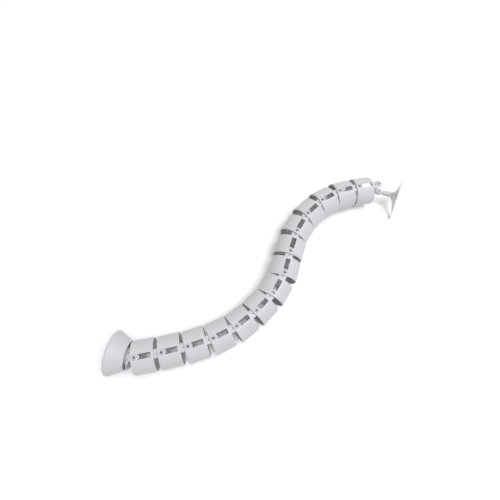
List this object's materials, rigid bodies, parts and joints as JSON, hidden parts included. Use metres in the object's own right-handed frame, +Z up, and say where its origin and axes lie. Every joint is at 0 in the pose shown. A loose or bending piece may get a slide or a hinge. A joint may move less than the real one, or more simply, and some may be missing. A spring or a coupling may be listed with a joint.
{
  "type": "articulated cable conduit",
  "caption": "Chain of hinged round tube links in white plastic, with a weighted cone foot and a swivelling tripod bracket, lying in an S-bend.",
  "frame": {"origin": "on the floor, under the middle of the whole conduit as it lies", "axes": "+X from the foot towards the bracket, along the line from the first hinge to the last; +Z up"},
  "size_m": [0.8756, 0.195, 0.1078],
  "materials": {
    "white_plastic": "moulded white plastic, satin with a soft gloss",
    "zinc_steel": "zinc-plated steel",
    "black_rubber": "matt rubber"
  },
  "bodies": {
    "foot": {"base_cover": "white_plastic", "base_weight": "zinc_steel", "base_pad": "black_rubber", "base_screw_1": "zinc_steel", "base_screw_2": "zinc_steel", "base_screw_3": "zinc_steel"},
    "link_01": {"link_01": "white_plastic"},
    "link_02": {"link_02": "white_plastic"},
    "link_03": {"link_03": "white_plastic"},
    "link_04": {"link_04": "white_plastic"},
    "link_05": {"link_05": "white_plastic"},
    "link_06": {"link_06": "white_plastic"},
    "link_07": {"link_07": "white_plastic"},
    "link_08": {"link_08": "white_plastic"},
    "link_09": {"link_09": "white_plastic"},
    "link_10": {"link_10": "white_plastic"},
    "link_11": {"link_11": "white_plastic"},
    "link_12": {"link_12": "white_plastic"},
    "link_13": {"link_13": "white_plastic"},
    "link_14": {"link_14": "white_plastic"},
    "swivel": {"cross_bar": "white_plastic"},
    "fork": {"swivel_fork": "white_plastic", "cross_pin": "zinc_steel", "keeper_washer": "zinc_steel", "keeper_screw": "zinc_steel"},
    "bracket": {"tripod_bracket": "white_plastic"}
  },
  "joints": [
    {"name": "foot_hinge", "type": "hinge", "parent": "foot", "child": "link_01", "pos_m": [-0.36526, 0.01185, 0.04525], "axis": [0.0133, -0.0713, 0.9974], "range_deg": [-43, 1]},
    {"name": "hinge_02", "type": "hinge", "parent": "link_01", "child": "link_02", "pos_m": [-0.31584, -0.01215, 0.04287], "axis": [0.0133, -0.0713, 0.9974], "range_deg": [-16.9, 13.1]},
    {"name": "hinge_03", "type": "hinge", "parent": "link_02", "child": "link_03", "pos_m": [-0.26564, -0.03451, 0.04061], "axis": [0.0133, -0.0713, 0.9974], "range_deg": [-20.3, 9.7]},
    {"name": "hinge_04", "type": "hinge", "parent": "link_03", "child": "link_04", "pos_m": [-0.21358, -0.05214, 0.03865], "axis": [0.0133, -0.0713, 0.9974], "range_deg": [-24, 6]},
    {"name": "hinge_05", "type": "hinge", "parent": "link_04", "child": "link_05", "pos_m": [-0.15938, -0.06143, 0.03727], "axis": [0.0133, -0.0713, 0.9974], "range_deg": [-26.3, 3.7]},
    {"name": "hinge_06", "type": "hinge", "parent": "link_05", "child": "link_06", "pos_m": [-0.10441, -0.05995, 0.03664], "axis": [0.0133, -0.0713, 0.9974], "range_deg": [-23.2, 6.8]},
    {"name": "hinge_07", "type": "hinge", "parent": "link_06", "child": "link_07", "pos_m": [-0.0502, -0.05066, 0.03658], "axis": [0.0133, -0.0713, 0.9974], "range_deg": [-28.1, 1.9]},
    {"name": "hinge_08", "type": "hinge", "parent": "link_07", "child": "link_08", "pos_m": [0.0005, -0.02935, 0.03742], "axis": [0.0133, -0.0713, 0.9974], "range_deg": [-28.8, 1.2]},
    {"name": "hinge_09", "type": "hinge", "parent": "link_08", "child": "link_09", "pos_m": [0.04466, 0.0034, 0.03918], "axis": [0.0133, -0.0713, 0.9974], "range_deg": [-13.1, 16.9]},
    {"name": "hinge_10", "type": "hinge", "parent": "link_09", "child": "link_10", "pos_m": [0.08987, 0.03467, 0.04081], "axis": [0.0133, -0.0713, 0.9974], "range_deg": [-1.2, 28.8]},
    {"name": "hinge_11", "type": "hinge", "parent": "link_10", "child": "link_11", "pos_m": [0.14125, 0.05428, 0.04152], "axis": [0.0133, -0.0713, 0.9974], "range_deg": [-1.2, 28.8]},
    {"name": "hinge_12", "type": "hinge", "parent": "link_11", "child": "link_12", "pos_m": [0.19582, 0.06111, 0.04128], "axis": [0.0133, -0.0713, 0.9974], "range_deg": [-1.2, 28.8]},
    {"name": "hinge_13", "type": "hinge", "parent": "link_12", "child": "link_13", "pos_m": [0.25044, 0.05476, 0.0401], "axis": [0.0133, -0.0713, 0.9974], "range_deg": [-1.4, 28.6]},
    {"name": "hinge_14", "type": "hinge", "parent": "link_13", "child": "link_14", "pos_m": [0.30202, 0.03577, 0.03806], "axis": [0.0133, -0.0713, 0.9974], "range_deg": [-9.4, 20.6]},
    {"name": "bracket_swing", "type": "hinge", "parent": "link_14", "child": "swivel", "pos_m": [0.35149, 0.01185, 0.03569], "axis": [0.0133, -0.0713, 0.9974], "range_deg": [-24, 96]},
    {"name": "bracket_tilt", "type": "hinge", "parent": "swivel", "child": "fork", "pos_m": [0.35643, 0.00262, 0.03496], "axis": [0.8821, 0.4706, 0.0219], "range_deg": [-10.49, 49.51]},
    {"name": "bracket_spin", "type": "hinge", "parent": "fork", "child": "bracket", "pos_m": [0.35643, 0.00262, 0.03496], "axis": [0.4483, -0.8528, 0.2679], "continuous": true}
  ]
}
